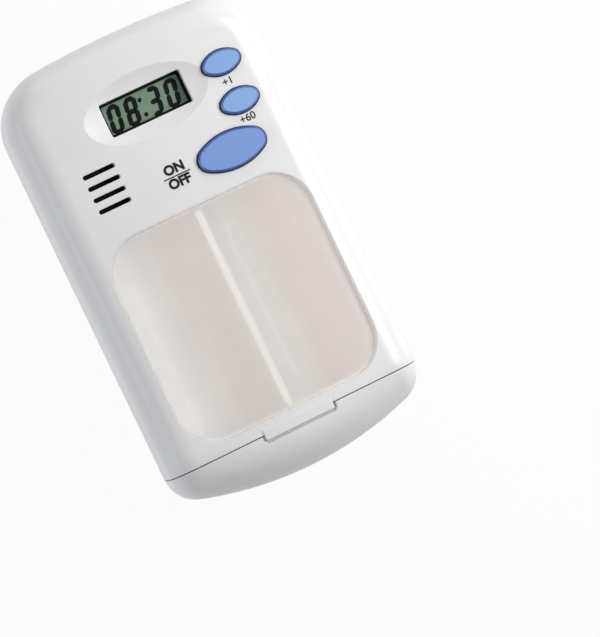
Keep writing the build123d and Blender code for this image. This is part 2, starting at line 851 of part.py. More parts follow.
pieces = {
    "base_shell": base_shell(),
    "pill_tray": pill_tray(),
    "hinge_pin": hinge_pin(),
    "lid_shell": lid_shell(),
    "pill_window": pill_window(),
    "display_lens": display_lens(),
    "lcd_cell": lcd_cell(),
    "lcd_reflector": lcd_reflector(),
    "lcd_frame": lcd_frame(),
    "zebra_strips": zebra_strips(),
    "circuit_board": circuit_board(),
    "chip_blob": chip_blob(),
    "quartz_crystal": quartz_crystal(),
    "chip_components": chip_components(),
    "keypad_membrane": keypad_membrane(),
    "buzzer_plate": buzzer_plate(),
    "buzzer_ceramic": buzzer_ceramic(),
    "buzzer_wires": buzzer_wires(),
    "battery_cell": battery_cell(),
    "battery_contact_positive": battery_contact_positive(),
    "battery_contact_negative": battery_contact_negative(),
    "inner_cover": inner_cover(),
    "battery_door": battery_door(),
    "cover_screws": cover_screws(),
    "board_screws": board_screws(),
}
for name, place in button_crowns.items():
    pieces[name] = push_button(*place)

for name, shape in pieces.items():
    export_step(shape, f"parts/{name}.step")
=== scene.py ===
import math
import bpy
import numpy as np
from mathutils import Matrix, Vector


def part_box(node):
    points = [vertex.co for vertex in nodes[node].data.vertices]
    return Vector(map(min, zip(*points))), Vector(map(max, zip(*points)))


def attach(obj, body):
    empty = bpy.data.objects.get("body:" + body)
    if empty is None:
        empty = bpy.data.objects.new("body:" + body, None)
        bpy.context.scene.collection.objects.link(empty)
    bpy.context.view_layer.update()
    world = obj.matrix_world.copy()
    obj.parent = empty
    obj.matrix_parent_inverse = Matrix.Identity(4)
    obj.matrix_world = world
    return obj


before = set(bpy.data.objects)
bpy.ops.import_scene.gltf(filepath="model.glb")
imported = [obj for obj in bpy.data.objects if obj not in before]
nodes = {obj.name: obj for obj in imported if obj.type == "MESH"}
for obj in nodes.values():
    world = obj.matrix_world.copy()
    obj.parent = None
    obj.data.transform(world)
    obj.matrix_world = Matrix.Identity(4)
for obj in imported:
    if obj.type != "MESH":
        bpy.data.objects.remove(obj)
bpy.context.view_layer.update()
MM = 0.001

# The camera. The pill box lies on its back. The view comes from almost straight above, leant
# over to the left side, through a long lens, and the display end points up and to the left.
view_target = Vector((9.459, -20.886, 20.0)) * MM
view_back = Vector((-0.1903, 0.0276, 0.9813)).normalized()
view_distance = 729.84 * MM
view_lean = math.radians(25.59)
along_box = (Vector((0, 1, 0)) - view_back * view_back.y).normalized()
across_box = along_box.cross(view_back)
view_right = across_box * math.cos(view_lean) - along_box * math.sin(view_lean)
view_up = across_box * math.sin(view_lean) + along_box * math.cos(view_lean)
lens_data = bpy.data.cameras.new("camera")
lens_data.lens = 210
lens_data.sensor_fit = "HORIZONTAL"
lens_data.sensor_width = 36
lens_data.clip_start = 0.01
camera = bpy.data.objects.new("camera", lens_data)
bpy.context.scene.collection.objects.link(camera)
axes = Matrix((view_right, view_up, view_back)).transposed().to_4x4()
camera.matrix_world = Matrix.Translation(view_target + view_back * view_distance) @ axes
bpy.context.scene.camera = camera


# Base shell. The back half is one injection moulding in white ABS. Its rounded nose is full
# height and closes the thumb end, and two hinge knuckles stand up from its floor.
def new_group(name, inputs):
    """An empty shader group: named numbers go in, and a height, a tone and a roughness come out."""
    tree = bpy.data.node_groups.new(name, "ShaderNodeTree")
    number = "NodeSocketFloat"
    for label, value in inputs.items():
        tree.interface.new_socket(label, in_out="INPUT", socket_type=number).default_value = value
    for label in ("Height", "Tone", "Rough"):
        tree.interface.new_socket(label, in_out="OUTPUT", socket_type=number)
    return tree, tree.nodes.new("NodeGroupInput"), tree.nodes.new("NodeGroupOutput")


def feed(tree, slot, value):
    """Sets an input to a number, or links it where the value is a socket."""
    if isinstance(value, (int, float)):
        slot.default_value = value
    else:
        tree.links.new(value, slot)


def object_vector(tree):
    """The place of a point in the frame of the box, in metres."""
    return tree.nodes.new("ShaderNodeTexCoord").outputs["Object"]


def stretched(tree, vector, scale):
    """A vector scaled along its three axes. A small number draws a pattern out along its axis."""
    node = tree.nodes.new("ShaderNodeMapping")
    tree.links.new(vector, node.inputs["Vector"])
    node.inputs["Scale"].default_value = scale
    return node.outputs["Vector"]


def noise_node(tree, vector, scale, detail, roughness=0.5):
    """A noise texture at the given number of spots per metre."""
    node = tree.nodes.new("ShaderNodeTexNoise")
    tree.links.new(vector, node.inputs["Vector"])
    feed(tree, node.inputs["Scale"], scale)
    node.inputs["Detail"].default_value = detail
    node.inputs["Roughness"].default_value = roughness
    return node.outputs["Fac"]


def sum_node(tree, operation, first, second):
    """One step of arithmetic. Each side is a socket or a number."""
    node = tree.nodes.new("ShaderNodeMath")
    node.operation = operation
    feed(tree, node.inputs[0], first)
    feed(tree, node.inputs[1], second)
    return node.outputs[0]


def weighed_sum(tree, first, first_share, second, second_share):
    """The sum of two values, each times its own share."""
    first_part = sum_node(tree, "MULTIPLY", first, first_share)
    second_part = sum_node(tree, "MULTIPLY", second, second_share)
    return sum_node(tree, "ADD", first_part, second_part)


def ramp_node(tree, factor, stops):
    """A colour ramp with its stops given as pairs of place and grey or colour."""
    node = tree.nodes.new("ShaderNodeValToRGB")
    tree.links.new(factor, node.inputs["Fac"])
    while len(node.color_ramp.elements) < len(stops):
        node.color_ramp.elements.new(0.5)
    for element, (place, tone) in zip(node.color_ramp.elements, stops):
        element.position = place
        element.color = (*tone, 1) if isinstance(tone, tuple) else (tone, tone, tone, 1)
    return node.outputs["Color"]


def range_node(tree, value, source, target):
    """Carries a value from one range of numbers over to another, and stops at its ends."""
    node = tree.nodes.new("ShaderNodeMapRange")
    tree.links.new(value, node.inputs["Value"])
    node.inputs["From Min"].default_value, node.inputs["From Max"].default_value = source
    node.inputs["To Min"].default_value, node.inputs["To Max"].default_value = target
    return node.outputs["Result"]


def relief_node(tree, height, strength, depth):
    """Shades a height between 0 and 1 as relief of the given depth."""
    node = tree.nodes.new("ShaderNodeBump")
    node.inputs["Strength"].default_value = strength
    node.inputs["Distance"].default_value = depth
    tree.links.new(height, node.inputs["Height"])
    return node


def moulded_skin_group():
    """Spark-eroded mould texture: fine grain, soft flow streaks from the gate and handled spots."""
    tree, given, result = new_group("moulded_skin", {"Grain": 9000.0, "Streaks": 0.3})
    place = object_vector(tree)
    flow = stretched(tree, place, (1.0, 0.18, 1.0))
    grain = noise_node(tree, place, scale=given.outputs["Grain"], detail=3)
    streaks = noise_node(tree, flow, scale=240, detail=4)
    handled = noise_node(tree, place, scale=55, detail=5, roughness=0.6)
    tree.links.new(weighed_sum(tree, grain, 0.8, handled, 0.2), result.inputs["Height"])
    tone = weighed_sum(tree, handled, 0.7, streaks, given.outputs["Streaks"])
    tree.links.new(tone, result.inputs["Tone"])
    tree.links.new(weighed_sum(tree, handled, 0.75, grain, 0.25), result.inputs["Rough"])
    return tree


moulded_skin = moulded_skin_group()


def new_material(name):
    """An empty material with its node tree and its Principled shader."""
    material = bpy.data.materials.new(name)
    material.use_nodes = True
    return material, material.node_tree, material.node_tree.nodes["Principled BSDF"]


def surface_between(name, group, values, shades, rough, bump, depth, edge=0.0):
    """A material whose colour and roughness run between two limits as a group says.

    Its relief has the given strength and depth. With an edge radius given, sharp edges are
    shaded as if they were rounded by it.
    """
    material, tree, shader = new_material(name)
    effect = tree.nodes.new("ShaderNodeGroup")
    effect.node_tree = group
    for label, value in values.items():
        effect.inputs[label].default_value = value
    colour = ramp_node(tree, effect.outputs["Tone"], [(0.2, shades[0]), (0.8, shades[1])])
    tree.links.new(colour, shader.inputs["Base Color"])
    roughness = range_node(tree, effect.outputs["Rough"], (0.25, 0.75), rough)
    tree.links.new(roughness, shader.inputs["Roughness"])
    relief = relief_node(tree, effect.outputs["Height"], bump, depth)
    tree.links.new(relief.outputs["Normal"], shader.inputs["Normal"])
    if edge:
        rounding = tree.nodes.new("ShaderNodeBevel")
        rounding.samples = 6
        rounding.inputs["Radius"].default_value = edge
        tree.links.new(rounding.outputs["Normal"], relief.inputs["Normal"])
    return material


def adjust(material, values):
    """Sets more inputs of a finish, by their names."""
    shader = material.node_tree.nodes["Principled BSDF"]
    for label, value in values.items():
        shader.inputs[label].default_value = value


def dress(name, material):
    """Puts a finish on a solid that keeps its own shape."""
    for slot in nodes[name].material_slots:
        slot.material = material


abs_white = surface_between(
    "abs_white", moulded_skin, {"Grain": 5200.0, "Streaks": 0.3},
    shades=((0.79, 0.79, 0.79), (0.84, 0.84, 0.835)), rough=(0.30, 0.42),
    bump=0.10, depth=0.04 * MM, edge=0.2 * MM,
)
adjust(abs_white, {
    "Specular IOR Level": 0.5,
    "Subsurface Weight": 0.25,
    "Subsurface Radius": (1.2 * MM, 1.1 * MM, 1.0 * MM),
    "Subsurface Scale": 1.0,
    "Coat Weight": 0.12,
    "Coat Roughness": 0.22,
})
dress("base_shell", abs_white)


# Pill tray. One thin white moulding with two round-bottomed wells and a rib between them. It
# stands on three cross feet in the base and is glossier than the shells, to wipe clean.
def part_of(tree, vector, axis):
    """One of the three numbers of a vector."""
    apart = tree.nodes.new("ShaderNodeSeparateXYZ")
    tree.links.new(vector, apart.inputs["Vector"])
    return apart.outputs[axis]


def object_place(tree, axis):
    """The place of a point along one axis of the box."""
    return part_of(tree, object_vector(tree), axis)


def facing(tree, axis):
    """How far the surface faces along one axis, from -1 to 1."""
    return part_of(tree, tree.nodes.new("ShaderNodeNewGeometry").outputs["Normal"], axis)


def colour_mix(material, blend):
    """Puts a mix between the colour of a finish and its shader. Its second colour is free."""
    tree = material.node_tree
    shader = tree.nodes["Principled BSDF"]
    mix = tree.nodes.new("ShaderNodeMix")
    mix.data_type = "RGBA"
    mix.blend_type = blend
    tree.links.new(shader.inputs["Base Color"].links[0].from_socket, mix.inputs["A"])
    tree.links.new(mix.outputs["Result"], shader.inputs["Base Color"])
    return mix


def multiply_colour(material, tint):
    """Multiplies the colour of a finish by a tint."""
    mix = colour_mix(material, "MULTIPLY")
    mix.inputs["Factor"].default_value = 1.0
    material.node_tree.links.new(tint, mix.inputs["B"])


def blend_colour(material, share, colour):
    """Replaces the colour of a finish by another one where the share is 1."""
    mix = colour_mix(material, "MIX")
    material.node_tree.links.new(share, mix.inputs["Factor"])
    mix.inputs["B"].default_value = (*colour, 1)


def across_wells(tree, stops):
    """A ramp over X, with its stops given as millimetres from the middle of the box and a tone."""
    reach = 24.0
    share = sum_node(tree, "DIVIDE", object_place(tree, "X"), 2 * reach * MM)
    places = [(0.5 + place / (2 * reach), tone) for place, tone in stops]
    return ramp_node(tree, sum_node(tree, "ADD", share, 0.5), places)


tray_gloss = surface_between(
    "tray_gloss", moulded_skin, {"Grain": 3000.0, "Streaks": 0.5},
    shades=((0.92, 0.92, 0.92), (0.96, 0.96, 0.96)), rough=(0.20, 0.30), bump=0.05, depth=0.03 * MM,
)
adjust(tray_gloss, {"Coat Weight": 0.2, "Coat Roughness": 0.12})
# The wells carry painted shade: their colour is darkened on the flanks that face right, in the right well
# and beside the rib. Upright walls but those that face left, the rim and the rib's top are set back to white.
tree = tray_gloss.node_tree
painted_flank_shade = [(0.05, 1.0), (0.30, 0.98), (0.60, 0.94), (0.95, 0.65)]
painted_floor_shade = [(-10.0, 0.98), (-1.0, 0.67), (1.0, 0.47), (5.0, 0.56), (9.0, 0.70), (21.0, 0.67), (23.0, 0.80)]
# Painted shade: the colour is darkened by which way the surface faces and by its place across the wells.
multiply_colour(tray_gloss, ramp_node(tree, facing(tree, "X"), painted_flank_shade))
multiply_colour(tray_gloss, across_wells(tree, painted_floor_shade))
wall_white = (0.84, 0.84, 0.83)
faces_left = -0.4
upright = ramp_node(tree, facing(tree, "Z"), [(0.20, 1.0), (0.45, 0.0)])
not_left = sum_node(tree, "GREATER_THAN", facing(tree, "X"), faces_left)
blend_colour(tray_gloss, sum_node(tree, "MULTIPLY", upright, not_left), wall_white)
rim_white = (0.78, 0.80, 0.79)
rim_rise = (17.6 * MM, 18.3 * MM)
blend_colour(tray_gloss, range_node(tree, object_place(tree, "Z"), rim_rise, (0.0, 1.0)), rim_white)
dress("pill_tray", tray_gloss)


# Hinge pin. A drawn steel wire cut to length and pushed through the knuckles. It is bright,
# with fine drawing lines along its length.
def drawn_metal_group():
    """Fine parallel lines left by drawing, rolling or turning, with faint tarnish over them."""
    tree, given, result = new_group("drawn_metal", {"Lines": 6000.0, "Tarnish": 0.3})
    place = object_vector(tree)
    drawn = stretched(tree, place, (0.04, 1.0, 1.0))
    lines = noise_node(tree, drawn, scale=given.outputs["Lines"], detail=4)
    spots = noise_node(tree, place, scale=420, detail=6, roughness=0.65)
    both = weighed_sum(tree, lines, 0.6, spots, given.outputs["Tarnish"])
    tree.links.new(lines, result.inputs["Height"])
    tree.links.new(both, result.inputs["Tone"])
    tree.links.new(both, result.inputs["Rough"])
    return tree


drawn_metal = drawn_metal_group()


def metal(name, lines, tarnish, shades, rough):
    """A bare metal with drawing lines and tarnish."""
    values = {"Lines": lines, "Tarnish": tarnish}
    material = surface_between(name, drawn_metal, values, shades, rough, bump=0.12, depth=0.02 * MM)
    adjust(material, {"Metallic": 1.0})
    return material


drawn_steel = metal(
    "drawn_steel", lines=9000.0, tarnish=0.25,
    shades=((0.48, 0.48, 0.50), (0.66, 0.66, 0.67)), rough=(0.22, 0.38),
)
dress("hinge_pin", drawn_steel)


# Lid shell. The whole front is one white ABS moulding: it holds the window, the display, the
# buttons and the sound slots, ends in the thumb lip, and swings on the hinge pin.
lens_low, lens_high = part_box("display_lens")
display_x = (lens_low.x + lens_high.x) / 2
display_y = (lens_low.y + lens_high.y) / 2
dish_half_x = 14.0 * MM
dish_half_y = 7.2 * MM
dish_shade = 1.25 * MM
lid_white = abs_white.copy()
lid_white.name = "lid_white"
tree = lid_white.node_tree
# The bowl of the oval dish, as a height that grows with the square of the way out to its rim.
out_x = sum_node(tree, "DIVIDE", sum_node(tree, "SUBTRACT", object_place(tree, "X"), display_x), dish_half_x)
out_y = sum_node(tree, "DIVIDE", sum_node(tree, "SUBTRACT", object_place(tree, "Y"), display_y), dish_half_y)
way_out = sum_node(tree, "ADD", sum_node(tree, "POWER", out_x, 2.0), sum_node(tree, "POWER", out_y, 2.0))
bowl = relief_node(tree, sum_node(tree, "MINIMUM", way_out, 1.0), 1.0, dish_shade)
rounding = next(node for node in tree.nodes if node.type == "BEVEL")
grain_relief = rounding.outputs["Normal"].links[0].to_node
tree.links.new(rounding.outputs["Normal"], bowl.inputs["Normal"])
tree.links.new(bowl.outputs["Normal"], grain_relief.inputs["Normal"])
dress("lid_shell", lid_white)


# Printed marks. Pad printing in thin black ink on the lid: the minutes that each setting
# button adds, and two plain words with a line between them beside the large button.
face_z = 20.0 * MM
ink_depth = 0.02 * MM


def ink_group():
    """Ink that covers unevenly: tiny thin spots where the pad lifted off."""
    tree, given, result = new_group("printed_ink", {"Spots": 9000.0})
    spots = noise_node(tree, object_vector(tree), scale=given.outputs["Spots"], detail=2)
    for label in ("Height", "Tone", "Rough"):
        tree.links.new(spots, result.inputs[label])
    return tree


printed_ink = ink_group()
black_ink = surface_between(
    "black_ink", printed_ink, {"Spots": 12000.0},
    shades=((0.006, 0.006, 0.007), (0.018, 0.018, 0.020)), rough=(0.45, 0.65), bump=0.05, depth=0.01 * MM,
)
adjust(black_ink, {"Specular IOR Level": 0.2})


def mesh_piece(name, points, faces, material):
    """An object at the origin from an array of points in metres and a list of faces."""
    mesh = bpy.data.meshes.new(name)
    mesh.from_pydata(points.tolist(), [], faces)
    mesh.update()
    mesh.materials.append(material)
    piece = bpy.data.objects.new(name, mesh)
    bpy.context.scene.collection.objects.link(piece)
    return piece


def bar_mark(name, x_range, y_range):
    """A thin printed bar: the corners of a box over its ranges across, along and up."""
    x, y, z = np.meshgrid(x_range, y_range, (face_z, face_z + ink_depth), indexing="ij")
    points = np.stack((x.ravel(), y.ravel(), z.ravel()), axis=1)
    faces = [(0, 1, 3, 2), (4, 6, 7, 5), (0, 4, 5, 1), (2, 3, 7, 6), (0, 2, 6, 4), (1, 5, 7, 3)]
    return mesh_piece(name, points, faces, black_ink)


def word_mark(name, text, middle, height, weight):
    """Plain lettering round its middle, with a share of the type size as its height.

    It is made a mesh and then put in its place on the face.
    """
    capital_share = 0.69
    curve = bpy.data.curves.new(name, "FONT")
    curve.body = text
    curve.size = height / capital_share
    curve.offset = weight
    curve.extrude = ink_depth / 2
    curve.align_x = "CENTER"
    curve.align_y = "CENTER"
    holder = bpy.data.objects.new(name + "_curve", curve)
    bpy.context.scene.collection.objects.link(holder)
    bpy.context.view_layer.update()
    drawn = holder.evaluated_get(bpy.context.evaluated_depsgraph_get())
    mesh = bpy.data.meshes.new_from_object(drawn)
    bpy.data.objects.remove(holder)
    mesh.name = name
    mesh.transform(Matrix.Translation((*middle, face_z + ink_depth / 2)))
    mesh.materials.clear()
    mesh.materials.append(black_ink)
    piece = bpy.data.objects.new(name, mesh)
    bpy.context.scene.collection.objects.link(piece)
    return piece


number_height = 1.55 * MM
number_weight = 0.03 * MM
minute_place = (17.4 * MM, 30.2 * MM)
hour_place = (17.9 * MM, 21.6 * MM)
word_height = 1.95 * MM
word_weight = 0.13 * MM
on_place = (-0.9 * MM, 18.55 * MM)
off_place = (-0.9 * MM, 15.55 * MM)
rule_x = (-3.9 * MM, 2.1 * MM)
rule_y = (16.91 * MM, 17.17 * MM)
marks = [
    word_mark("mark_minute", "+1", minute_place, number_height, number_weight),
    word_mark("mark_hour", "+60", hour_place, number_height, number_weight),
    word_mark("mark_on", "ON", on_place, word_height, word_weight),
    word_mark("mark_off", "OFF", off_place, word_height, word_weight),
    bar_mark("mark_rule", rule_x, rule_y),
]
for mark in marks:
    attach(mark, "lid")


# Pill window. A flat plate of clear acrylic with a smoky, slightly milky tint and a bevelled
# edge, cut from sheet and glued on the lid's ledge over the wells.
smoky_window = surface_between(
    "smoky_window", moulded_skin, {"Grain": 2200.0, "Streaks": 0.6},
    shades=((0.955, 0.955, 0.955), (1.0, 1.0, 1.0)), rough=(0.12, 0.20), bump=0.03, depth=0.02 * MM,
)
adjust(smoky_window, {"IOR": 1.49})
# The smoke in the plate carries painted light and shade: pale at the left as if lit, beige over the floors
# of the wells, and greyer in the band just right of the rib as painted shade.
tree = smoky_window.node_tree
painted_lit_smoke = (0.92, 0.90, 0.87)
beige_smoke = (0.905, 0.825, 0.78)
painted_shade_smoke = (0.86, 0.84, 0.805)
multiply_colour(smoky_window, across_wells(tree, [
    (-18.0, painted_lit_smoke), (-8.0, beige_smoke), (-1.0, beige_smoke),
    (1.0, painted_shade_smoke), (5.0, painted_shade_smoke), (9.0, beige_smoke),
]))
# The haze that is seen in the plate varies a little over it. Light for the wells goes through.
haze_range = (0.42, 0.48)
skin = next(node for node in tree.nodes if node.type == "GROUP")
haze = range_node(tree, skin.outputs["Tone"], (0.0, 1.0), haze_range)
rays = tree.nodes.new("ShaderNodeLightPath")
seen = sum_node(tree, "SUBTRACT", 1.0, rays.outputs["Is Shadow Ray"])
alpha = sum_node(tree, "MULTIPLY", haze, seen)
tree.links.new(alpha, tree.nodes["Principled BSDF"].inputs["Alpha"])
dress("pill_window", smoky_window)


# Window cement. Clear solvent cement, run round the plate with a needle, closes the thin joint
# between the window and the lid. It dries to a line just under the top of the plate.
def rounded_rectangle(x, y, half_x, half_y, corner, steps):
    """Outline points: four straight sides and a quarter circle at each corner."""
    points = []
    for turn, (side_x, side_y) in enumerate(((1, 1), (-1, 1), (-1, -1), (1, -1))):
        angles = np.linspace(0, math.pi / 2, steps) + turn * math.pi / 2
        points.append(np.column_stack((
            x + side_x * (half_x - corner) + corner * np.cos(angles),
            y + side_y * (half_y - corner) + corner * np.sin(angles),
        )))
    return np.concatenate(points)


def flat_ring(outer, inner, z, depth):
    """A flat ring: its four-cornered section, two outlines at two heights, goes round in a loop.

    A point is given by its corner of the section and its step round the loop. Both wrap.
    """
    count = len(outer)
    lines = ((outer, z), (inner, z), (inner, z + depth), (outer, z + depth))
    levels = [np.column_stack((line, np.full(count, height))) for line, height in lines]
    grid = np.arange(4 * count).reshape(4, count)
    above = np.roll(grid, -1, axis=0)
    quads = np.stack((grid, above, np.roll(above, -1, axis=1), np.roll(grid, -1, axis=1)), axis=-1)
    return np.concatenate(levels), quads.reshape(-1, 4).tolist()


cement_clear = surface_between(
    "cement_clear", moulded_skin, {"Grain": 3000.0, "Streaks": 0.4},
    shades=((0.86, 0.85, 0.83), (0.90, 0.89, 0.87)), rough=(0.25, 0.4), bump=0.1, depth=0.02 * MM,
)
plate_low, plate_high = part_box("pill_window")
plate_x, plate_y = ((plate_low + plate_high) / 2).xy
plate_half_x, plate_half_y = ((plate_high - plate_low) / 2).xy
plate_corner = 9.0 * MM
corner_steps = 40
joint_width = 0.1 * MM
joint_bite = 0.03 * MM
joint_sink = 0.10 * MM
joint_depth = 0.5 * MM
outlines = [
    rounded_rectangle(
        plate_x, plate_y, plate_half_x + reach, plate_half_y + reach, plate_corner + reach, corner_steps
    )
    for reach in (joint_width + joint_bite, -joint_bite)
]
points, faces = flat_ring(*outlines, plate_high.z - joint_sink - joint_depth, joint_depth)
cement = mesh_piece("window_cement", points, faces, cement_clear)
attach(cement, "lid")


# Display lens. A clear acrylic plate behind the rectangular opening. It is polished, with only
# faint moulding waves.
clear_acrylic = surface_between(
    "clear_acrylic", moulded_skin, {"Grain": 1500.0, "Streaks": 0.2},
    shades=((0.30, 0.32, 0.31), (0.36, 0.38, 0.37)), rough=(0.02, 0.06), bump=0.01, depth=0.01 * MM,
)
adjust(clear_acrylic, {"IOR": 1.49, "Alpha": 0.008, "Specular IOR Level": 0.3})
dress("display_lens", clear_acrylic)


# Lens border. A black frame is screen printed on the back of the lens. It hides the edge of the polarising
# film, and only its inner part shows inside the opening. It is drawn wide inside the opening, so that it also
# stands in for the shade along the opening's walls: partly print, partly painted shade.
segment_black = surface_between(
    "segment_black", printed_ink, {"Spots": 4000.0},
    shades=((0.003, 0.004, 0.004), (0.008, 0.010, 0.009)), rough=(0.4, 0.5), bump=0.02, depth=0.01 * MM,
)
adjust(segment_black, {"Specular IOR Level": 0.12})
opening_half_x = 9.35 * MM
opening_half_y = 3.7 * MM
border_out = 0.4 * MM
# The inner width is widened so that the black print also paints the shade along the opening's walls.
border_in_with_shade = 0.6 * MM
outer_corner = 0.7 * MM
inner_corner = 0.3 * MM
border_rise = 0.04 * MM
border_depth = 0.02 * MM
outer_line = rounded_rectangle(
    display_x, display_y, opening_half_x + border_out, opening_half_y + border_out, outer_corner, 6
)
inner_line = rounded_rectangle(
    display_x, display_y, opening_half_x - border_in_with_shade, opening_half_y - border_in_with_shade, inner_corner, 6
)
points, faces = flat_ring(outer_line, inner_line, lens_low.z + border_rise, border_depth)
border = mesh_piece("lens_border", points, faces, segment_black)
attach(border, "lid")


# Liquid crystal cell. Two bonded glasses under a grey-green polarising film. Seven-segment
# digits and a colon show black on it.
film_green = surface_between(
    "film_green", moulded_skin, {"Grain": 6000.0, "Streaks": 0.8},
    shades=((0.150, 0.235, 0.160), (0.185, 0.285, 0.195)), rough=(0.35, 0.5), bump=0.03, depth=0.01 * MM,
)
dress("lcd_cell", film_green)
digit_margin = 0.32 * MM
digit_low_y = display_y - opening_half_y + digit_margin
digit_height = 6.3 * MM
digit_width = 2.95 * MM
digit_slant = math.tan(math.radians(8.5))
digit_rise = 0.01 * MM
digit_depth = 0.02 * MM
segment_width = 1.06 * MM
segment_gap = 0.03 * MM
colon_radius = segment_width * 0.44
colon_shares = (0.22, 0.74)
# The seven strokes as start and end on a unit digit: across and up.
strokes = {
    "top": ((0, 1), (1, 1)), "upper_right": ((1, 1), (1, 0.5)), "lower_right": ((1, 0.5), (1, 0)),
    "bottom": ((1, 0), (0, 0)), "lower_left": ((0, 0), (0, 0.5)), "upper_left": ((0, 0.5), (0, 1)),
    "middle": ((0, 0.5), (1, 0.5)),
}
digit_strokes = {
    0: ("top", "upper_right", "lower_right", "bottom", "lower_left", "upper_left"),
    3: ("top", "upper_right", "lower_right", "bottom", "middle"),
    8: tuple(strokes),
}


def segment_outline(start, end):
    """A stroke with bevelled ends: its half width rises from a half to full over half a width."""
    reach = end - start
    length = np.linalg.norm(reach)
    along = reach / length
    across = np.array((-along[1], along[0]))
    half = segment_width / 2
    near, far = segment_gap, length - segment_gap
    stations = np.array((near, near + half, far - half, far))
    widths = np.array((0.5, 1.0, 1.0, 0.5)) * half
    one_side = start + stations[:, None] * along + widths[:, None] * across
    other_side = start + stations[::-1, None] * along - widths[::-1, None] * across
    return np.concatenate((one_side, other_side))


def flat_prism(outline, z, depth):
    """A flat outline raised by a depth: the outline below, its copy above and quads between."""
    count = len(outline)
    low = np.column_stack((outline, np.full(count, z)))
    high = np.column_stack((outline, np.full(count, z + depth)))
    step = np.arange(count)
    after = np.roll(step, -1)
    walls = np.column_stack((step, after, after + count, step + count)).tolist()
    return np.concatenate((low, high)), [step[::-1].tolist(), (step + count).tolist()] + walls


def shown_time(digits, lefts, colon_x):
    """All the dark strokes of the display in one mesh.

    A stroke runs between two places on its digit, and a dot of the colon is a circle. Each is
    sheared by the slant as it rises and becomes a flat prism whose outline turns to the left.
    """
    outlines = []
    inset = segment_width / 2
    for digit, left in zip(digits, lefts):
        for stroke in digit_strokes[digit]:
            ends = np.array(strokes[stroke], float)
            ends[:, 0] = left + inset + ends[:, 0] * (digit_width - segment_width)
            ends[:, 1] = digit_low_y + inset + ends[:, 1] * (digit_height - segment_width)
            outlines.append(segment_outline(ends[0], ends[1]))
    angle = np.linspace(0, 2 * math.pi, 16, endpoint=False)
    for share in colon_shares:
        rise = share * digit_height
        dot_x = colon_x - digit_slant * rise + colon_radius * np.cos(angle)
        outlines.append(np.column_stack((dot_x, digit_low_y + rise + colon_radius * np.sin(angle))))
    points, faces, count = [], [], 0
    for outline in outlines:
        x, y = outline.T
        area = np.sum(x * np.roll(y, -1) - y * np.roll(x, -1))
        slanted = np.column_stack((x + digit_slant * (y - digit_low_y), y))
        slanted = slanted if area > 0 else slanted[::-1]
        part, part_faces = flat_prism(slanted, lens_low.z + digit_rise, digit_depth)
        points.append(part)
        faces += [(np.array(face) + count).tolist() for face in part_faces]
        count += len(part)
    return np.concatenate(points), faces


digit_lefts = (display_x + np.array((-8.75, -4.85, 0.4, 4.45)) * MM).tolist()
colon_left = 0.49 * MM
points, faces = shown_time((0, 8, 3, 0), digit_lefts, display_x - colon_left)
digits = mesh_piece("display_digits", points, faces, segment_black)
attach(digits, "lid")


# Reflector. A thin plastic film, silvered in a vacuum and stuck behind the rear glass. It sends
# the light that comes through the cell back out.
silvered_film = metal(
    "silvered_film", lines=3000.0, tarnish=0.3,
    shades=((0.68, 0.72, 0.70), (0.80, 0.83, 0.81)), rough=(0.30, 0.42),
)
dress("lcd_reflector", silvered_film)


# Display frame. A black ABS moulding that stacks the lens, the glasses, the reflector and the
# contact strips over the board and holds them in line.
black_abs = surface_between(
    "black_abs", moulded_skin, {"Grain": 5000.0, "Streaks": 0.3},
    shades=((0.018, 0.018, 0.02), (0.035, 0.035, 0.038)), rough=(0.40, 0.55), bump=0.12, depth=0.04 * MM,
)
dress("lcd_frame", black_abs)


# Contact strips. A pair of rubber bars, laid up from thin black conducting and pink
# insulating layers side by side.
def wave_bands(tree, direction, scale):
    """Parallel bands across one axis, as a wave that runs between 0 and 1."""
    wave = tree.nodes.new("ShaderNodeTexWave")
    wave.bands_direction = direction
    tree.links.new(object_vector(tree), wave.inputs["Vector"])
    wave.inputs["Scale"].default_value = scale
    return wave.outputs["Fac"]


def layered_rubber(name):
    """Bands across the strip: a wave along X turned into two colours by a ramp."""
    material, tree, shader = new_material(name)
    layers = wave_bands(tree, "X", 700)
    colour = ramp_node(tree, layers, [(0.42, (0.02, 0.02, 0.02)), (0.58, (0.55, 0.33, 0.33))])
    tree.links.new(colour, shader.inputs["Base Color"])
    rough = ramp_node(tree, layers, [(0.4, 0.75), (0.6, 0.55)])
    tree.links.new(rough, shader.inputs["Roughness"])
    return material


dress("zebra_strips", layered_rubber("layered_rubber"))


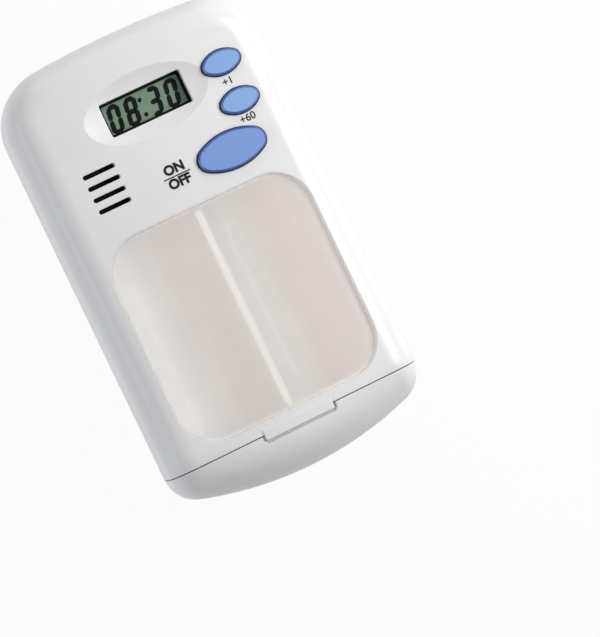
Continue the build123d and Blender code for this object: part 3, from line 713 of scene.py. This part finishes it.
# Circuit board. Glass-epoxy laminate under green solder mask, with copper tracks just raised
# under the mask. It is screwed to three posts inside the lid.
def masked_laminate(name):
    """Bundles of parallel tracks that lift the mask and lighten its green.

    Two sets of waves run along and across the board. A pattern of unequal blocks says which of
    them shows in each place, and where the board is bare.
    """
    material, tree, shader = new_material(name)
    place = object_vector(tree)
    blocks = tree.nodes.new("ShaderNodeTexBrick")
    tree.links.new(place, blocks.inputs["Vector"])
    blocks.inputs["Scale"].default_value = 150
    blocks.inputs["Color1"].default_value = (0.0, 0.0, 0.0, 1)
    blocks.inputs["Color2"].default_value = (1.0, 1.0, 1.0, 1)
    blocks.inputs["Mortar"].default_value = (0.5, 0.5, 0.5, 1)
    blocks.inputs["Mortar Size"].default_value = 0.03
    blocks.inputs["Brick Width"].default_value = 0.8
    blocks.inputs["Row Height"].default_value = 0.45
    bundles = []
    for direction, comparison, limit in (("X", "GREATER_THAN", 0.62), ("Y", "LESS_THAN", 0.38)):
        lines = sum_node(tree, "GREATER_THAN", wave_bands(tree, direction, 300), 0.62)
        shown = sum_node(tree, comparison, blocks.outputs["Color"], limit)
        bundles.append(sum_node(tree, "MULTIPLY", lines, shown))
    weave = noise_node(tree, place, scale=2600, detail=3)
    track = weighed_sum(tree, sum_node(tree, "ADD", bundles[0], bundles[1]), 0.8, weave, 0.2)
    colour = ramp_node(tree, track, [(0.1, (0.008, 0.10, 0.035)), (0.9, (0.03, 0.24, 0.09))])
    tree.links.new(colour, shader.inputs["Base Color"])
    rough = ramp_node(tree, weave, [(0.3, 0.28), (0.7, 0.42)])
    tree.links.new(rough, shader.inputs["Roughness"])
    raised = relief_node(tree, track, strength=0.3, depth=0.04 * MM)
    tree.links.new(raised.outputs["Normal"], shader.inputs["Normal"])
    return material


dress("circuit_board", masked_laminate("masked_laminate"))


# Chip. The bare chip is bonded straight on the board and wired to its pads. A drop of black
# epoxy, cured in an oven, seals it, and only the drop shows.
black_epoxy = surface_between(
    "black_epoxy", moulded_skin, {"Grain": 1600.0, "Streaks": 0.2},
    shades=((0.008, 0.008, 0.009), (0.02, 0.02, 0.021)), rough=(0.22, 0.4), bump=0.25, depth=0.05 * MM,
)
dress("chip_blob", black_epoxy)


# Quartz crystal. A small drawn metal can that lies beside the chip, with the crystal sealed in
# it. The crystal gives the timer its beat.
can_nickel = metal(
    "can_nickel", lines=7000.0, tarnish=0.3,
    shades=((0.60, 0.60, 0.58), (0.74, 0.74, 0.72)), rough=(0.20, 0.34),
)
dress("quartz_crystal", can_nickel)


# Small resistors and capacitors. Fired ceramic bodies with tinned ends, placed on the board in
# two rows and soldered at both ends.
ceramic_body = surface_between(
    "ceramic_body", moulded_skin, {"Grain": 4000.0, "Streaks": 0.4},
    shades=((0.16, 0.12, 0.085), (0.30, 0.23, 0.16)), rough=(0.4, 0.55), bump=0.1, depth=0.03 * MM,
)
chips_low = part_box("chip_components")[0]
chip_pitch = 4.0 * MM
chip_length = 2.0 * MM
tin_reach = 0.62 * MM
tin_grey = (0.62, 0.62, 0.60)
# The ends of each body are tinned: the way from the middle of the nearest body, along X.
tree = ceramic_body.node_tree
from_first = sum_node(tree, "SUBTRACT", object_place(tree, "X"), chips_low.x + chip_length / 2)
way = sum_node(tree, "PINGPONG", from_first, chip_pitch / 2)
tinned = sum_node(tree, "GREATER_THAN", way, tin_reach)
blend_colour(ceramic_body, tinned, tin_grey)
tree.links.new(tinned, tree.nodes["Principled BSDF"].inputs["Metallic"])
dress("chip_components", ceramic_body)


# Rubber keypad. A soft grey silicone sheet, pressed in a heated mould, with a raised pad under
# each button. It lies on the board and springs the buttons back up.
keypad_silicone = surface_between(
    "keypad_silicone", moulded_skin, {"Grain": 2600.0, "Streaks": 0.2},
    shades=((0.26, 0.27, 0.29), (0.33, 0.34, 0.36)), rough=(0.55, 0.7), bump=0.1, depth=0.04 * MM,
)
adjust(keypad_silicone, {"Subsurface Weight": 0.1, "Subsurface Radius": (2.0 * MM, 2.0 * MM, 2.0 * MM)})
dress("keypad_membrane", keypad_silicone)


# Buttons. Three oval keys moulded in cornflower blue ABS, polished on top. Each stands
# through its own hole in the lid and is pushed back up by the rubber keypad.
small_key_blue = ((0.235, 0.40, 0.74), (0.27, 0.44, 0.78))
large_key_blue = ((0.19, 0.325, 0.69), (0.22, 0.36, 0.73))
painted_side_shade = (0.34, 0.32, 0.50)
for name, shades in (
    ("min_button", small_key_blue), ("hour_button", small_key_blue), ("start_stop_button", large_key_blue),
):
    key_blue = surface_between(
        name + "_blue", moulded_skin, {"Grain": 2400.0, "Streaks": 0.2},
        shades, rough=(0.22, 0.30), bump=0.03, depth=0.03 * MM,
    )
    adjust(key_blue, {"Coat Weight": 0.25, "Coat Roughness": 0.12})
    # The polished cap is bright, and the bevel and sides carry painted shade: darker where they turn from
    # facing up.
    tree = key_blue.node_tree
    painted_bevel_shade = ramp_node(tree, facing(tree, "Z"), [(0.82, painted_side_shade), (0.96, (1.0, 1.0, 1.0))])
    multiply_colour(key_blue, painted_bevel_shade)
    dress(name, key_blue)


# Buzzer. A brass disc under black lacquer with a white piezo disc bonded to it, glued on the
# step of the ring under the sound slots, and two thin leads down to the board.
lacquered_brass = surface_between(
    "lacquered_brass", drawn_metal, {"Lines": 5000.0, "Tarnish": 0.4},
    shades=((0.005, 0.005, 0.005), (0.014, 0.012, 0.010)), rough=(0.45, 0.6), bump=0.1, depth=0.02 * MM,
)
adjust(lacquered_brass, {"Specular IOR Level": 0.2})
dress("buzzer_plate", lacquered_brass)
piezo_white = surface_between(
    "piezo_white", moulded_skin, {"Grain": 3000.0, "Streaks": 0.2},
    shades=((0.68, 0.67, 0.62), (0.78, 0.77, 0.73)), rough=(0.35, 0.5), bump=0.08, depth=0.03 * MM,
)
dress("buzzer_ceramic", piezo_white)


def lead_insulation(name, split_y):
    """Red on one lead and black on the other: a step in Y at the middle between them."""
    lead_black = (0.02, 0.02, 0.022)
    lead_red = (0.50, 0.03, 0.025)
    material, tree, shader = new_material(name)
    side = sum_node(tree, "GREATER_THAN", object_place(tree, "Y"), split_y)
    spots = noise_node(tree, object_vector(tree), scale=3000, detail=3)
    mixed = weighed_sum(tree, side, 0.8, spots, 0.1)
    colour = ramp_node(tree, mixed, [(0.2, lead_black), (0.7, lead_red)])
    tree.links.new(colour, shader.inputs["Base Color"])
    tree.links.new(ramp_node(tree, spots, [(0.3, 0.32), (0.7, 0.48)]), shader.inputs["Roughness"])
    return material


wires_low, wires_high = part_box("buzzer_wires")
dress("buzzer_wires", lead_insulation("lead_insulation", (wires_low.y + wires_high.y) / 2))


# Button cell. A nickel-plated steel can, drawn and crimped over its seal. It lies with the
# narrower cap up, against the board's contact.
cell_nickel = metal(
    "cell_nickel", lines=8000.0, tarnish=0.3,
    shades=((0.56, 0.56, 0.55), (0.72, 0.72, 0.70)), rough=(0.18, 0.32),
)
dress("battery_cell", cell_nickel)


# Cell contacts. Two strips of nickel-plated spring steel, one over the cap and one on the
# side of the can, each soldered to the board by its foot.
spring_nickel = metal(
    "spring_nickel", lines=7000.0, tarnish=0.3,
    shades=((0.62, 0.61, 0.58), (0.78, 0.77, 0.74)), rough=(0.20, 0.36),
)
dress("battery_contact_negative", spring_nickel)
dress("battery_contact_positive", spring_nickel)


# Inner cover. A plain white ABS plate that closes the timer in the lid, with a cup for the
# button cell and a front wall that comes down beside the wells.
cover_white = surface_between(
    "cover_white", moulded_skin, {"Grain": 4200.0, "Streaks": 0.5},
    shades=((0.74, 0.745, 0.75), (0.80, 0.80, 0.80)), rough=(0.38, 0.52),
    bump=0.16, depth=0.05 * MM, edge=0.15 * MM,
)
dress("inner_cover", cover_white)


# Battery door. A round ABS moulding, a little greyer than the cover round it. A coin turns it
# in the inner cover, and two lugs on its rim hold it.
door_white = surface_between(
    "door_white", moulded_skin, {"Grain": 4200.0, "Streaks": 0.3},
    shades=((0.70, 0.71, 0.72), (0.77, 0.775, 0.78)), rough=(0.34, 0.46),
    bump=0.14, depth=0.05 * MM, edge=0.15 * MM,
)
dress("battery_door", door_white)


# Screws. Thread-forming screws, headed and rolled from steel wire and plated with zinc: four
# in the inner cover and three in the board.
zinc_plate = metal(
    "zinc_plate", lines=6000.0, tarnish=0.4,
    shades=((0.50, 0.51, 0.52), (0.68, 0.69, 0.70)), rough=(0.26, 0.42),
)
dress("cover_screws", zinc_plate)
dress("board_screws", zinc_plate)


# Floor and light. A pale seamless table that shows white to the camera but keeps the box's
# shadow. Three lamps, a key lamp from above the right side and weak fills from the left and
# the rear, stand under an even sky.
def seamless_white(name, plain_share):
    """White floor: mostly plain white to camera, mirror and glass rays, the rest lit as it lies."""
    material, tree, shader = new_material(name)
    adjust(material, {"Base Color": (0.62, 0.62, 0.62, 1), "Roughness": 0.9, "Specular IOR Level": 0.1})
    plain = tree.nodes.new("ShaderNodeEmission")
    plain.inputs["Strength"].default_value = 1.0
    rays = tree.nodes.new("ShaderNodeLightPath")
    seen = sum_node(tree, "ADD", rays.outputs["Is Camera Ray"], rays.outputs["Is Glossy Ray"])
    seen = sum_node(tree, "ADD", seen, rays.outputs["Is Transmission Ray"])
    share = sum_node(tree, "MULTIPLY", sum_node(tree, "MINIMUM", seen, 1.0), plain_share)
    mix = tree.nodes.new("ShaderNodeMixShader")
    tree.links.new(share, mix.inputs["Fac"])
    tree.links.new(shader.outputs["BSDF"], mix.inputs[1])
    tree.links.new(plain.outputs["Emission"], mix.inputs[2])
    tree.links.new(mix.outputs["Shader"], tree.nodes["Material Output"].inputs["Surface"])
    return material


floor_reach = 1600.0 * MM
floor_z = -0.05 * MM
floor_sides = np.array(((-1, -1), (1, -1), (1, 1), (-1, 1)))
corners = np.column_stack((floor_sides * floor_reach, np.full(4, floor_z)))
floor = mesh_piece("floor", corners, [(0, 1, 2, 3)], seamless_white("seamless_white", plain_share=0.95))


def soft_lamp(name, place, length, height, watts, colour):
    """A long area lamp that looks at the middle of the box."""
    lamp = bpy.data.lights.new(name, "AREA")
    lamp.shape = "RECTANGLE"
    lamp.size = length
    lamp.size_y = height
    lamp.energy = watts
    lamp.color = colour
    holder = bpy.data.objects.new(name, lamp)
    aim = Vector((0, 0, 10.0 * MM)) - Vector(place)
    holder.matrix_world = Matrix.Translation(place) @ aim.to_track_quat("-Z", "Y").to_matrix().to_4x4()
    bpy.context.scene.collection.objects.link(holder)


soft_lamp(
    "key_lamp", place=(0.160, 0.014, 0.168), length=0.24, height=0.08, watts=0.45, colour=(1.0, 0.985, 0.965)
)
soft_lamp(
    "side_fill", place=(-0.34, 0.0, 0.11), length=0.44, height=0.12, watts=0.41, colour=(0.93, 0.95, 1.0)
)
soft_lamp(
    "rear_fill", place=(0.08, 0.32, 0.11), length=0.40, height=0.12, watts=0.24, colour=(0.98, 0.98, 1.0)
)
world = bpy.data.worlds.new("sky")
world.use_nodes = True
background = world.node_tree.nodes["Background"]
background.inputs["Color"].default_value = (0.95, 0.965, 1.0, 1)
background.inputs["Strength"].default_value = 0.30
bpy.context.scene.world = world
bpy.context.scene.view_settings.view_transform = "Standard"
